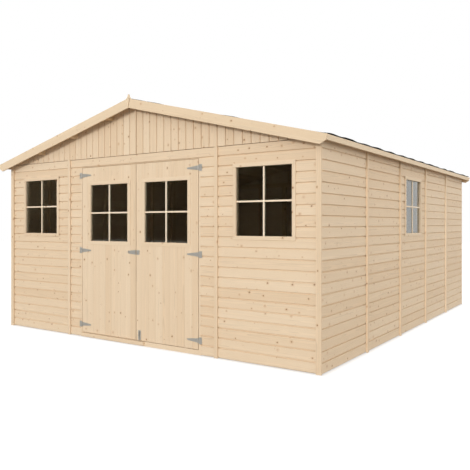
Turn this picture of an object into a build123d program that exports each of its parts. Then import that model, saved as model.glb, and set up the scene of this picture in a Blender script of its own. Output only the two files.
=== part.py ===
# A wooden garden shed: boarded wall panels on inner frames, a felted saddle roof on
# purlins, a two-leaf boarded door on strap hinges, and three fixed windows.
# Millimetres. The origin is on the ground at the middle of the plan, +Z is up, and
# the door wall faces -Y.

import os
from math import cos, radians, sin, tan

from build123d import *

# Walls
board_cover_width = 90
board_rows = 21
board_thickness = 16
building_width = 4034
building_length = 4830
side_bays = 5
panel_gap = 2
frame_depth = 45
stud_width = 35
batten_width = 35
batten_thickness = 15
corner_strip_width = 48

# Roof
roof_pitch = 14.1
deck_rise = 13
deck_thickness = 16
eave_reach = 67
gable_reach = 94
felt_thickness = 3
felt_drip = 3
ridge_felt_width = 125
purlin_width = 45
purlin_depth = 68
first_purlin = 340
purlin_spacing = 545
purlins_each_side = 3
purlin_notch_clearance = 0.5
gable_joint = 3

# Roof edges
bargeboard_thickness = 16
bargeboard_depth = 90
bargeboard_overhang = 28
bargeboard_chamfer = 42
fascia_thickness = 16
fascia_depth = 46
finial_width = 90
finial_height = 40
finial_tip_width = 10

# Doorway and door leaves
door_opening_width = 1570
door_clearance = 5
jamb_width = 20
door_strip_width = 179
sill_height = 45
header_rows = 1
leaf_seam = 7
leaf_frame_depth = 28
leaf_stile_width = 60
leaf_bottom_rail = 90
leaf_top_rail = 50
leaf_brace_width = 60
sill_strip_thickness = 18
sill_strip_reach = 112
sill_strip_bottom = 10
sill_strip_top = 43

# Windows
wall_window_width = 552
wall_window_height = 597
wall_window_sill = 1096
front_window_shift = 19.5
wall_trim_width = 35
wall_trim_proud = 8
door_window_margin = 120
door_window_height = 586
door_window_sill = 1022
door_window_shift = 7
door_trim_width = 38
door_trim_proud = 4
liner_thickness = 12
liner_depth = 30
glass_thickness = 4
glass_setback = 13
glass_rebate = 6
glass_clearance = 0.3
window_rail_width = 45

# Strap hinges
bottom_hinge_inset = 83
middle_hinge_drop = 102
top_hinge_inset = 80
knuckle_radius = 5
hinge_pin_radius = 2.5
pin_clearance = 0.08
hinge_plate_thickness = 3
jamb_plate_width = 34
jamb_plate_height = 61
strap_length = 128
strap_root_height = 41
strap_tip_height = 15
barrel_height = 41
middle_knuckle = 15
knuckle_gap = 0.5
knuckle_relief = 1
pin_head_height = 1.5
pin_head_radius = 3.5

# Hasp
hasp_height = 918
flap_length = 106
flap_root_height = 46
flap_tip_height = 30
flap_slot_length = 26
flap_slot_width = 7
staple_wire_radius = 2.5
staple_reach = 16
staple_clearance = 1
hasp_plate_width = 31
hasp_plate_height = 45
hasp_plate_offset = 15
hasp_barrel_radius = 4

# Tower bolt
bolt_offset = 48
bolt_plate_width = 36
bolt_plate_bottom = 56
bolt_plate_top = 150
bolt_plate_thickness = 2
bolt_rod_radius = 3.5
bolt_rod_proud = 9
bolt_tip_gap = 5
bolt_rod_top = 142
bolt_guide_width = 16
bolt_guide_height = 12
bolt_guide_inset = 4
bolt_knob_radius = 3
bolt_knob_reach = 12
keeper_hole_radius = 5

# Worked out from the sizes above
wall_height = board_cover_width * board_rows
header_bottom = board_cover_width * (board_rows - header_rows)
half_width = building_width / 2
half_length = building_length / 2
inner_x = half_width - board_thickness
frame_back = board_thickness + frame_depth
side_bay = building_length / side_bays
slope = radians(roof_pitch)
deck_edge = half_width + eave_reach
deck_end = half_length + gable_reach
bargeboard_face = deck_end + bargeboard_thickness
bargeboard_end = deck_edge + bargeboard_overhang
leaf_bottom = sill_height + door_clearance
leaf_top = header_bottom - door_clearance
leaf_inner_edge = leaf_seam / 2
jamb_face = door_opening_width / 2
leaf_outer_edge = jamb_face - door_clearance
hinge_axis = (jamb_face + leaf_outer_edge) / 2
hinge_heights = (
    leaf_bottom + bottom_hinge_inset,
    door_window_sill - middle_hinge_drop,
    leaf_top - top_hinge_inset,
)
strip_start = jamb_face + jamb_width
strip_end = strip_start + door_strip_width
half_bay = strip_end + panel_gap / 2
panel_start = half_bay + panel_gap / 2
front_window_offset = (panel_start + inner_x) / 2 - front_window_shift
door_window_width = leaf_outer_edge - leaf_inner_edge - 2 * door_window_margin
door_window_offset = (leaf_inner_edge + leaf_outer_edge) / 2 - door_window_shift

WALLS = {
    "front": Location((0, -half_length, 0)),
    "back": Location((0, half_length, 0), (0, 0, 180)),
    "right": Location((half_width, 0, 0), (0, 0, 90)),
    "left": Location((-half_width, 0, 0), (0, 0, -90)),
}


def block(x0, x1, y0, y1, z0, z1):
    """Box between two corners."""
    corner = (Align.MIN, Align.MIN, Align.MIN)
    return Pos(x0, y0, z0) * Box(x1 - x0, y1 - y0, z1 - z0, align=corner)


def prism(points, y0, y1):
    """Solid with an outline of XZ points, from y0 to y1."""
    outline = Polyline(*[(x, y0, z) for x, z in points], close=True)
    return extrude(make_face(outline), amount=y1 - y0, dir=(0, 1, 0))


def group(solids):
    """Like pieces of one node, which don't touch each other."""
    return Compound(children=[part for solid in solids for part in solid.solids()])


def flip(shape):
    """The same piece on the other side of the middle plane X = 0."""
    return mirror(shape, about=Plane.YZ)


def roof_z(x, offset=0):
    """Height at x of the plane that lies offset above the deck's underside."""
    seat = wall_height + deck_rise
    return seat + (half_width - abs(x)) * tan(slope) + offset / cos(slope)


# Wall panels, in a wall's own frame: X along the wall, Y into the building from the
# outer face of its boards, Z up.


def window_hole(middle, width, height, sill, depth):
    """The opening that a window's liner fills."""
    reach = width / 2 + liner_thickness
    low = sill - liner_thickness
    high = sill + height + liner_thickness
    return block(middle - reach, middle + reach, 0, depth, low, high)


def wall_window_hole(middle):
    return window_hole(middle, wall_window_width, wall_window_height, wall_window_sill, frame_back)


def boards(x0, x1, z0, z1, window=None):
    """The boarding of one panel, with the hole for its window."""
    panel = block(x0, x1, 0, board_thickness, z0, z1)
    return panel if window is None else panel - wall_window_hole(window)


def frame_timber(x0, x1, z0, z1):
    """Stud or rail behind the boards."""
    return block(x0, x1, board_thickness, frame_back, z0, z1)


def panel_frame(x0, x1, height, inner_studs):
    """Studs behind one panel, and the rails between their feet and heads."""
    studs = [x0, *inner_studs, x1 - stud_width]
    timbers = [frame_timber(x, x + stud_width, 0, height) for x in studs]
    for left, right in zip(studs, studs[1:]):
        for z in (0, height - stud_width):
            timbers.append(frame_timber(left + stud_width, right, z, z + stud_width))
    return timbers


def plain_panel_frame(x0, x1):
    return group(panel_frame(x0, x1, wall_height, [(x0 + x1 - stud_width) / 2]))


def window_panel_frame(x0, x1, window):
    """Panel frame with a stud on each side of the window and a trimmer over and under it."""
    reach = wall_window_width / 2 + liner_thickness
    left, right = window - reach, window + reach
    timbers = panel_frame(x0, x1, wall_height, [left - stud_width, right])
    low = wall_window_sill - liner_thickness
    high = wall_window_sill + wall_window_height + liner_thickness
    timbers.append(frame_timber(left, right, low - stud_width, low))
    timbers.append(frame_timber(left, right, high, high + stud_width))
    return group(timbers)


def batten(x, width=batten_width, height=wall_height):
    """Cover strip on the outer face over a joint."""
    return block(x - width / 2, x + width / 2, -batten_thickness, 0, 0, height)


def side_wall(side, window_bay=None):
    """Boarding, frames and battens of a side wall."""
    skins, frames, strips = [], [], []
    edges = [-half_length + side_bay * bay for bay in range(side_bays + 1)]
    corner = half_length - frame_back
    for bay in range(side_bays):
        low = edges[bay] + (panel_gap / 2 if bay else 0)
        high = edges[bay + 1] - (panel_gap / 2 if bay < side_bays - 1 else 0)
        inner_low, inner_high = max(low, -corner), min(high, corner)
        if bay == window_bay:
            window = (edges[bay] + edges[bay + 1]) / 2
            skins.append(boards(low, high, 0, wall_height, window))
            frames.append(window_panel_frame(inner_low, inner_high, window))
        else:
            skins.append(boards(low, high, 0, wall_height))
            frames.append(plain_panel_frame(inner_low, inner_high))
        if bay:
            strips.append(batten(edges[bay]))
    wall = WALLS[side]
    return group([wall * s for s in skins]), group([wall * f for f in frames]), \
        group([wall * s for s in strips])


def wall_plate():
    """Plate on the right wall's frames, bevelled to the slope, which carries the deck."""
    outer, inner = inner_x, inner_x - frame_depth
    points = [
        (outer, wall_height), (outer, roof_z(outer)),
        (inner, roof_z(inner)), (inner, wall_height),
    ]
    return prism(points, -half_length + frame_back, half_length - frame_back)


def back_wall():
    """Boarding, frames and battens of the plain back wall."""
    skins, frames = [], []
    edges = [-inner_x, -half_bay, 0, half_bay, inner_x]
    for low, high in zip(edges, edges[1:]):
        a = low + (panel_gap / 2 if low > -inner_x else 0)
        b = high - (panel_gap / 2 if high < inner_x else 0)
        skins.append(boards(a, b, 0, wall_height))
        frames.append(plain_panel_frame(a, b))
    strips = [batten(x) for x in edges[1:-1]]
    wall = WALLS["back"]
    return group([wall * s for s in skins]), group([wall * f for f in frames]), \
        group([wall * s for s in strips])


def corner_strip():
    """Strip on an end wall that covers the ends of the right wall's boards."""
    return batten(half_width - corner_strip_width / 2, corner_strip_width)


# Gables


def gable_boards():
    """Right half of a gable's boarding, notched for the purlins."""
    z0 = wall_height + gable_joint
    x0 = panel_gap / 2
    points = [(x0, z0), (inner_x, z0), (inner_x, roof_z(inner_x)), (x0, roof_z(x0))]
    panel = prism(points, 0, board_thickness)
    for x in purlin_places():
        panel -= purlin_notch(x)
    return panel


def purlin_places():
    """Distances from the ridge of the ridge purlin and the purlins of one slope."""
    return [0] + [first_purlin + purlin_spacing * i for i in range(purlins_each_side)]


def purlin_notch(x):
    """Slot in a gable that a purlin lies in, open to the deck."""
    reach = purlin_width / 2 + purlin_notch_clearance
    seat = purlin_seat(x)
    return block(x - reach, x + reach, 0, frame_back, seat, roof_z(0))


def purlin_seat(x):
    """Height of a purlin's underside."""
    return roof_z(x) - purlin_depth


def gable_frame():
    """Right half of a gable's inner frame: a rail and a post under each purlin."""
    z0 = wall_height + gable_joint
    z1 = z0 + stud_width
    x0, x1 = panel_gap / 2, inner_x - frame_depth
    bevel_start = half_width - (z1 - wall_height - deck_rise) / tan(slope)
    rail = [(x0, z0), (x1, z0), (x1, roof_z(x1)), (bevel_start, z1), (x0, z1)]
    timbers = [prism(rail, board_thickness, frame_back)]
    for x in purlin_places():
        left = x0 if x == 0 else x - purlin_width / 2
        right = left + (stud_width if x == 0 else purlin_width)
        timbers.append(frame_timber(left, right, z1, purlin_seat(x)))
    return group(timbers)


def purlin(x):
    """Roof timber with its top cut to the slope."""
    left, right = x - purlin_width / 2, x + purlin_width / 2
    seat = purlin_seat(x)
    top = [(right, roof_z(right)), (left, roof_z(left))]
    if x == 0:
        top.insert(1, (0, roof_z(0)))
    return prism([(left, seat), (right, seat)] + top, -deck_end, deck_end)


# Roof


def roof_layer(low, high, x0, x1, reach):
    """Sheet on the right slope, between two offsets above the deck's underside."""
    points = [
        (x0, roof_z(x0, low)), (x1, roof_z(x1, low)),
        (x1, roof_z(x1, high)), (x0, roof_z(x0, high)),
    ]
    return prism(points, -reach, reach)


def deck():
    return roof_layer(0, deck_thickness, 0, deck_edge, deck_end)


def felt():
    outer = deck_edge + fascia_thickness + felt_drip
    return roof_layer(deck_thickness, deck_thickness + felt_thickness, 0, outer, deck_end)


def ridge_felt():
    """Strip of felt folded over the ridge between the finials."""
    low = deck_thickness + felt_thickness
    half = roof_layer(low, low + felt_thickness, 0, ridge_felt_width, deck_end)
    return half + flip(half)


def fascia():
    """Eave board on the deck's edge, its top bevelled to the slope."""
    outer = deck_edge + fascia_thickness
    low = roof_z(outer, deck_thickness) - fascia_depth
    points = [
        (deck_edge, low), (outer, low),
        (outer, roof_z(outer, deck_thickness)), (deck_edge, roof_z(deck_edge, deck_thickness)),
    ]
    return prism(points, -deck_end, deck_end)


def along_slope(run, rise):
    """Point of the right slope, by its run from the ridge and rise above the deck's top."""
    x = run * cos(slope) + rise * sin(slope)
    z = roof_z(0, deck_thickness) - run * sin(slope) + rise * cos(slope)
    return x, z


def bargeboard(lapped):
    """Gable edge board, with a chamfered foot and the seam of the two boards square to
    the right one. The lapped board runs on past the ridge to that seam."""
    top_end = bargeboard_end / cos(slope)
    depth = bargeboard_depth
    foot = bargeboard_chamfer
    ridge_foot = depth * tan(slope)
    seam_foot = along_slope(ridge_foot, -depth)
    seam_top = along_slope(ridge_foot, 0)
    outline = [
        along_slope(top_end, 0), along_slope(top_end, foot - depth),
        along_slope(top_end - foot, -depth), seam_foot,
    ]
    if lapped:
        outline += [(-seam_top[0], seam_top[1]), (0, roof_z(0, deck_thickness))]
    else:
        outline += [seam_top]
    return prism(outline, -bargeboard_face, -deck_end)


def finial():
    """Pointed block on the bargeboards' seam, with hollow shoulders."""
    half, tip = finial_width / 2, finial_tip_width / 2
    base, peak = roof_z(half, deck_thickness), roof_z(0, deck_thickness) + finial_height
    y = -bargeboard_face
    bend = (half + 2 * tip) / 3
    waist = base + (peak - base) / 3
    edge = [
        Line((half, y, base), (0, y, roof_z(0, deck_thickness))),
        Line((0, y, roof_z(0, deck_thickness)), (-half, y, base)),
        ThreePointArc((-half, y, base), (-bend, y, waist), (-tip, y, peak - tip)),
        ThreePointArc((-tip, y, peak - tip), (0, y, peak), (tip, y, peak - tip)),
        ThreePointArc((tip, y, peak - tip), (bend, y, waist), (half, y, base)),
    ]
    return extrude(make_face(edge), amount=bargeboard_thickness, dir=(0, 1, 0))


# Windows, in the frame of the panel that holds them


def ring(middle, width, height, sill, margin, y0, y1):
    """Rectangular ring round an opening."""
    outer = block(middle - width / 2 - margin, middle + width / 2 + margin, y0, y1,
                  sill - margin, sill + height + margin)
    return outer - block(middle - width / 2, middle + width / 2, y0, y1, sill, sill + height)


def window_frame(middle, width, height, sill, trim, proud):
    """Face trim and liner in one, with the groove that holds the glass."""
    groove_end = glass_setback + glass_thickness + 2 * glass_clearance
    frame = ring(middle, width, height, sill, trim, -proud, 0)
    frame += ring(middle, width, height, sill, liner_thickness, 0, liner_depth)
    wide, tall = width + 2 * glass_rebate, height + 2 * glass_rebate
    groove = block(middle - wide / 2, middle + wide / 2, glass_setback, groove_end,
                   sill - glass_rebate, sill - glass_rebate + tall)
    return frame - groove


def window_glass(middle, width, height, sill):
    """Pane in the groove of its frame, standing on the groove's lower edge."""
    edge = glass_rebate - glass_clearance
    y0 = glass_setback + glass_clearance
    return block(middle - width / 2 - edge, middle + width / 2 + edge, y0, y0 + glass_thickness,
                 sill - glass_rebate, sill + height + edge)


def wall_window(side, middle):
    sizes = (middle, wall_window_width, wall_window_height, wall_window_sill)
    frame = window_frame(*sizes, wall_trim_width, wall_trim_proud)
    return WALLS[side] * frame, WALLS[side] * window_glass(*sizes)


# Doorway, in the door wall's frame, right half


def door_strip():
    """Boarding between the jamb and the battened joint."""
    return boards(strip_start, strip_end, 0, header_bottom)


def door_strip_frame():
    return group(panel_frame(strip_start, strip_end, header_bottom, []))


def door_jamb():
    return block(jamb_face, strip_start, 0, frame_back, 0, header_bottom)


def door_header():
    """Board over the door, and the beam behind it."""
    face = block(-strip_end, strip_end, 0, board_thickness, header_bottom, wall_height)
    beam = block(-strip_end, strip_end, board_thickness, frame_back, header_bottom, wall_height)
    return face, beam


def sill_beam():
    return block(-jamb_face, jamb_face, 0, frame_back, 0, sill_height)


def sill_strip():
    """Strip on the sill's face, bored for the tower bolt's rod."""
    strip = block(-jamb_face, sill_strip_reach, -sill_strip_thickness, 0, sill_strip_bottom, sill_strip_top)
    height = sill_strip_top - sill_strip_bottom
    bore = Pos(bolt_offset, -bolt_rod_proud, sill_strip_bottom + height / 2)
    return strip - bore * Cylinder(keeper_hole_radius, height)


# Door leaf, in the door wall's frame, right leaf


def leaf_boards():
    panel = block(leaf_inner_edge, leaf_outer_edge, 0, board_thickness, leaf_bottom, leaf_top)
    return panel - window_hole(door_window_offset, door_window_width, door_window_height,
                               door_window_sill, board_thickness)


def leaf_frame():
    """Stiles, rails and a brace on the leaf's inner face."""
    y0, y1 = board_thickness, board_thickness + leaf_frame_depth
    x0, x1 = leaf_inner_edge, leaf_outer_edge
    low = door_window_sill - liner_thickness
    high = door_window_sill + door_window_height + liner_thickness
    inner0, inner1 = x0 + leaf_stile_width, x1 - leaf_stile_width
    foot, head = leaf_bottom + leaf_bottom_rail, low - window_rail_width
    brace = [
        (inner1, foot), (inner1, foot + leaf_brace_width),
        (inner0, head), (inner0, head - leaf_brace_width),
    ]
    return group([
        block(x0, inner0, y0, y1, leaf_bottom, leaf_top),
        block(inner1, x1, y0, y1, leaf_bottom, leaf_top),
        block(inner0, inner1, y0, y1, leaf_bottom, foot),
        block(inner0, inner1, y0, y1, leaf_top - leaf_top_rail, leaf_top),
        block(inner0, inner1, y0, y1, head, low),
        block(inner0, inner1, y0, y1, high, high + window_rail_width),
        prism(brace, y0, y1),
    ])


def door_window():
    sizes = (door_window_offset, door_window_width, door_window_height, door_window_sill)
    return window_frame(*sizes, door_trim_width, door_trim_proud), window_glass(*sizes)


def upright(radius, x, y, z0, z1):
    """Upright round bar."""
    foot = (Align.CENTER, Align.CENTER, Align.MIN)
    return Pos(x, y, z0) * Cylinder(radius, z1 - z0, align=foot)


def plate(points, thickness):
    """Flat plate on the face of the boards, with an outline of XZ points."""
    return prism(points, -thickness, 0)


def jamb_plate(z):
    """Hinge plate on the jamb, with its outer knuckles and the pin."""
    near = hinge_axis + knuckle_radius + knuckle_relief
    half = jamb_plate_height / 2
    body = plate([(near, z - half), (near + jamb_plate_width, z - half),
                  (near + jamb_plate_width, z + half), (near, z + half)], hinge_plate_thickness)
    reach, inner = barrel_height / 2, middle_knuckle / 2 + knuckle_gap
    for low, high in ((z - reach, z - inner), (z + inner, z + reach)):
        tab_start = hinge_axis + hinge_pin_radius
        body += plate([(tab_start, low), (near, low), (near, high), (tab_start, high)],
                      hinge_plate_thickness)
        body += upright(knuckle_radius, hinge_axis, -knuckle_radius, low, high)
    head = reach + pin_head_height
    body += upright(hinge_pin_radius, hinge_axis, -knuckle_radius, z - reach, z + reach)
    body += upright(pin_head_radius, hinge_axis, -knuckle_radius, z + reach, z + head)
    return body


def hinge_strap(z):
    """Tapered strap on the leaf, with the middle knuckle."""
    near = hinge_axis - knuckle_radius - knuckle_relief
    root, tip, half = strap_root_height / 2, strap_tip_height / 2, middle_knuckle / 2
    far = near - strap_length + tip
    y = -hinge_plate_thickness
    outline = [
        Line((far, y, z - tip), (near, y, z - root)),
        Line((near, y, z - root), (near, y, z + root)),
        Line((near, y, z + root), (far, y, z + tip)),
        ThreePointArc((far, y, z + tip), (far - tip, y, z), (far, y, z - tip)),
    ]
    strap = extrude(make_face(outline), amount=hinge_plate_thickness, dir=(0, 1, 0))
    tab_end = hinge_axis - hinge_pin_radius
    strap += plate([(near, z - half), (tab_end, z - half), (tab_end, z + half), (near, z + half)],
                   hinge_plate_thickness)
    strap += upright(knuckle_radius, hinge_axis, -knuckle_radius, z - half, z + half)
    bore = hinge_pin_radius + pin_clearance
    return strap - upright(bore, hinge_axis, -knuckle_radius, z - half, z + half)


def hasp_flap():
    """Rounded flap on the left leaf, pointing away from the seam, over its staple."""
    z = hasp_height
    near = -leaf_inner_edge
    root, tip = flap_root_height / 2, flap_tip_height / 2
    far = near - flap_length + tip
    y = -hinge_plate_thickness
    outline = [
        Line((near, y, z - root), (far, y, z - tip)),
        ThreePointArc((far, y, z - tip), (far - tip, y, z), (far, y, z + tip)),
        Line((far, y, z + tip), (near, y, z + root)),
        Line((near, y, z + root), (near, y, z - root)),
    ]
    flap = extrude(make_face(outline), amount=hinge_plate_thickness, dir=(0, 1, 0))
    half_length_slot, half_width_slot = flap_slot_length / 2, flap_slot_width / 2
    return flap - block(far - half_width_slot, far + half_width_slot, y, 0,
                        z - half_length_slot, z + half_length_slot)


def hasp_staple():
    """Wire loop through the flap's slot, standing on the left leaf."""
    far = -leaf_inner_edge - flap_length + flap_tip_height / 2
    z, r = hasp_height, staple_wire_radius
    half = flap_slot_length / 2 - r - staple_clearance
    path = Line((far, 0, z - half), (far, half - staple_reach, z - half)) \
        + ThreePointArc((far, half - staple_reach, z - half), (far, -staple_reach, z),
                        (far, half - staple_reach, z + half)) \
        + Line((far, half - staple_reach, z + half), (far, 0, z + half))
    return sweep(Plane((far, 0, z - half), x_dir=(1, 0, 0), z_dir=(0, -1, 0)) * Circle(r), path=path)


def hasp_plate():
    """Screw plate of the hasp on the right leaf, with its barrel beside the seam."""
    z, half = hasp_height, hasp_plate_height / 2
    x0 = hasp_plate_offset
    body = plate([(x0, z - half), (x0 + hasp_plate_width, z - half),
                  (x0 + hasp_plate_width, z + half), (x0, z + half)], hinge_plate_thickness)
    barrel = x0 - hinge_plate_thickness / 2
    body += upright(hasp_barrel_radius, barrel, -hasp_barrel_radius, z - half, z + half)
    return body


def bolt_holder():
    """Base plate and guides of the tower bolt on the right leaf."""
    x, half = bolt_offset, bolt_plate_width / 2
    body = plate([(x - half, bolt_plate_bottom), (x + half, bolt_plate_bottom),
                  (x + half, bolt_plate_top), (x - half, bolt_plate_top)], bolt_plate_thickness)
    guide = bolt_guide_width / 2
    top = bolt_plate_top - bolt_guide_inset
    for low in (bolt_plate_bottom + bolt_guide_inset, top - bolt_guide_height):
        high = low + bolt_guide_height
        body += block(x - guide, x + guide, -bolt_rod_proud, -bolt_plate_thickness, low, high)
        body += upright(guide, x, -bolt_rod_proud, low, high)
    rod_hole = bolt_rod_radius + pin_clearance
    return body - upright(rod_hole, x, -bolt_rod_proud, bolt_plate_bottom, bolt_plate_top)


def bolt_rod():
    """Sliding rod, drawn up clear of the sill strip, with its knob."""
    low = sill_strip_top + bolt_tip_gap
    rod = upright(bolt_rod_radius, bolt_offset, -bolt_rod_proud, low, bolt_rod_top)
    knob_z = (bolt_plate_bottom + bolt_plate_top) / 2
    knob = Location((bolt_offset, -bolt_rod_proud, knob_z), (90, 0, 0))
    foot = (Align.CENTER, Align.CENTER, Align.MIN)
    return rod + knob * Cylinder(bolt_knob_radius, bolt_rod_radius + bolt_knob_reach, align=foot)


def pair(shape):
    """A piece of the right half and its twin on the left, in one node."""
    return group([shape, flip(shape)])


def both_ends(shape):
    """A piece at the door end and its twin at the back, in one node."""
    return group([shape, mirror(shape, about=Plane.XZ)])


def door_wall_nodes():
    """The fixed pieces of the door wall."""
    front = WALLS["front"]
    panel = front * boards(panel_start, inner_x, 0, wall_height, front_window_offset)
    strip = door_strip()
    face, beam = door_header()
    return {
        "front_right_panel": panel,
        "front_left_panel": flip(panel),
        "door_strips": pair(front * strip),
        "door_jambs": pair(front * door_jamb()),
        "door_header": front * face,
        "door_header_beam": front * beam,
        "door_sill": front * sill_beam(),
        "door_sill_strip": front * sill_strip(),
        "hinge_plates": pair(group([front * jamb_plate(z) for z in hinge_heights])),
    }


def wall_nodes():
    """Boarding, inner frames and cover strips of the walls."""
    front = WALLS["front"]
    panel_back = front * window_panel_frame(panel_start, inner_x, front_window_offset)
    right_skin, right_frames, right_battens = side_wall("right", window_bay=side_bays // 2)
    left_skin, left_frames, left_battens = side_wall("left")
    back_skin, back_frames, back_battens = back_wall()
    front_battens = pair(front * batten(half_bay))
    return {
        "right_wall_boards": right_skin,
        "left_wall_boards": left_skin,
        "back_wall_boards": back_skin,
        "side_wall_frames": group([right_frames, left_frames]),
        "end_wall_frames": group([pair(panel_back), pair(front * door_strip_frame()), back_frames]),
        "wall_plates": pair(wall_plate()),
        "joint_battens": group([right_battens, left_battens, back_battens, front_battens]),
        "corner_strips": both_ends(pair(front * corner_strip())),
    }


def window_nodes():
    """The fixed windows of the door wall and the right wall."""
    frame, glass = wall_window("front", front_window_offset)
    side_frame, side_glass = wall_window("right", 0)
    return {
        "wall_window_frames": group([pair(frame), side_frame]),
        "wall_window_glass": group([pair(glass), side_glass]),
    }


def roof_nodes():
    """Gables, roof timbers, coverings and edges."""
    front, back = WALLS["front"], WALLS["back"]
    skin, inner = gable_boards(), gable_frame()
    return {
        "front_gable_boards": pair(front * skin),
        "back_gable_boards": pair(back * skin),
        "gable_frames": group([pair(front * inner), pair(back * inner)]),
        "ridge_purlin": purlin(0),
        "side_purlins": pair(group([purlin(x) for x in purlin_places()[1:]])),
        "right_roof_deck": deck(),
        "left_roof_deck": flip(deck()),
        "right_roof_felt": felt(),
        "left_roof_felt": flip(felt()),
        "ridge_felt": ridge_felt(),
        "eave_fascias": pair(fascia()),
        "right_bargeboards": both_ends(bargeboard(lapped=False)),
        "left_bargeboards": both_ends(flip(bargeboard(lapped=True))),
        "finials": both_ends(finial()),
    }


def leaf_nodes():
    """The two door leaves, each with its window and hinge straps."""
    front = WALLS["front"]
    frame, glass = door_window()
    pieces = {
        "boards": front * leaf_boards(),
        "frame": front * leaf_frame(),
        "window_frame": front * frame,
        "window_glass": front * glass,
        "hinge_straps": group([front * hinge_strap(z) for z in hinge_heights]),
    }
    nodes = {f"right_door_{name}": shape for name, shape in pieces.items()}
    nodes.update({f"left_door_{name}": flip(shape) for name, shape in pieces.items()})
    return nodes


def lock_nodes():
    """Hasp and tower bolt."""
    front = WALLS["front"]
    return {
        "hasp_flap": group([front * hasp_flap(), front * hasp_staple()]),
        "hasp_plate": front * hasp_plate(),
        "bolt_holder": front * bolt_holder(),
        "bolt_rod": front * bolt_rod(),
    }


os.makedirs("parts", exist_ok=True)
for make_nodes in (door_wall_nodes, wall_nodes, window_nodes, roof_nodes, leaf_nodes, lock_nodes):
    for name, shape in make_nodes().items():
        export_step(shape, f"parts/{name}.step")
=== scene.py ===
import math
import random

import bmesh
import bpy
from mathutils import Matrix, Vector, noise


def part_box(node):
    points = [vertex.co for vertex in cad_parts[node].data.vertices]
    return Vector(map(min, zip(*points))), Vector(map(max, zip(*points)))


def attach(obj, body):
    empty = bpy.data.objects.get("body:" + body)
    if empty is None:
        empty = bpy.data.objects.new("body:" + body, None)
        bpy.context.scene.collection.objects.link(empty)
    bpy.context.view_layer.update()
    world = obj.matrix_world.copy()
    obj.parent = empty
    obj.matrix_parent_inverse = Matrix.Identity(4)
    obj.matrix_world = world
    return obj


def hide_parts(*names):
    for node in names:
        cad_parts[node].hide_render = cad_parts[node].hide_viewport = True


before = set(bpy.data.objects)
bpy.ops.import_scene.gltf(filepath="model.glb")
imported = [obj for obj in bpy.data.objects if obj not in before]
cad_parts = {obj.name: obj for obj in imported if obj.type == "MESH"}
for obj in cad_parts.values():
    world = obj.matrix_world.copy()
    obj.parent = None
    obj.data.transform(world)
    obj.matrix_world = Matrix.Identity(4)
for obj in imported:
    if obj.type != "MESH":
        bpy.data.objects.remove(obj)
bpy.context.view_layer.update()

scene = bpy.context.scene

# The view: a level camera off the shed's right front corner, low enough to see under the
# eaves.
camera_place = (3.968, -6.534, 1.200)
camera_turn = 34.051
camera_lens = 43.51
camera_drop = -0.0236

view = bpy.data.cameras.new("view")
view.lens = camera_lens
view.sensor_width = 36
view.shift_y = camera_drop
view.clip_end = 200
camera = bpy.data.objects.new("view", view)
camera.location = camera_place
camera.rotation_euler = (math.radians(90), 0, math.radians(camera_turn))
scene.collection.objects.link(camera)
scene.camera = camera
scene.view_settings.view_transform = "Standard"


def paint(red, green, blue):
    """Linear colour from the 0 to 255 values of a screen colour."""
    shares = [value / 255 for value in (red, green, blue)]
    return [((s + 0.055) / 1.055) ** 2.4 if s > 0.04045 else s / 12.92 for s in shares] + [1]


# The studio: pale light from all round, most of it level and from the shed's right, a low
# key lamp in front that draws thin shadows under the edges, and a pale floor whose glow
# fades out at the walls, which paints shade at their foot.
front_light = 1.93
back_light = 0.85
overhead_light = 0.28
brightest = (0.99, -0.14, 0)
key_strength = 1.08
key_softness = 8
key_turn = (81, 0, 4)
floor_size = 60
floor_shade = 0.38
floor_inside = 0.75
# floor_edge and floor_fade set where the floor's glow fades out by the walls, a painted shade at
# their foot
floor_edge = (1.95, 2.35)
floor_fade = 0.12
floor_drop = 0.001
floor_glow = 0.84
room_dim = paint(70, 61, 47)
backdrop_turn = (-0.3, 0.5)


def node(tree, kind, inputs=None, **settings):
    """A node, its settings, and its inputs as values or as the sockets that feed them."""
    made = tree.nodes.new(kind)
    for name, value in settings.items():
        setattr(made, name, value)
    for name, value in (inputs or {}).items():
        if isinstance(value, bpy.types.NodeSocket):
            tree.links.new(value, made.inputs[name])
        else:
            made.inputs[name].default_value = value
    return made


def new_sockets(tree, side, **kinds):
    """Adds named inputs or outputs to a node group."""
    for name, kind in kinds.items():
        tree.interface.new_socket(name, in_out=side, socket_type="NodeSocket" + kind)


def math_of(tree, operation, *values):
    """The result of a Math node."""
    return node(tree, "ShaderNodeMath", dict(enumerate(values)), operation=operation).outputs[0]


def seen_directly(tree):
    """1 for the rays that see the background straight, in a gloss or through glass."""
    path = node(tree, "ShaderNodeLightPath").outputs
    gloss = math_of(tree, "MAXIMUM", path["Is Glossy Ray"], path["Is Transmission Ray"])
    return math_of(tree, "MAXIMUM", path["Is Camera Ray"], gloss)


world = bpy.data.worlds.new("studio")
world.use_nodes = True
tree = world.node_tree
tree.nodes.clear()
direction = node(tree, "ShaderNodeTexCoord").outputs["Generated"]
heading = node(tree, "ShaderNodeSeparateXYZ", {0: direction}).outputs
toward = node(tree, "ShaderNodeVectorMath", {0: direction, 1: brightest},
              operation="DOT_PRODUCT").outputs["Value"]
level = node(tree, "ShaderNodeMapRange", {
    "Value": toward, "From Min": -1, "From Max": 1, "To Min": back_light,
    "To Max": front_light}).outputs[0]
overhead = node(tree, "ShaderNodeMapRange", {
    "Value": heading[2], "To Min": 1, "To Max": overhead_light}).outputs[0]
level = math_of(tree, "MULTIPLY", level, overhead)
light = node(tree, "ShaderNodeBackground", {"Color": paint(255, 252, 247), "Strength": level})
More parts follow.
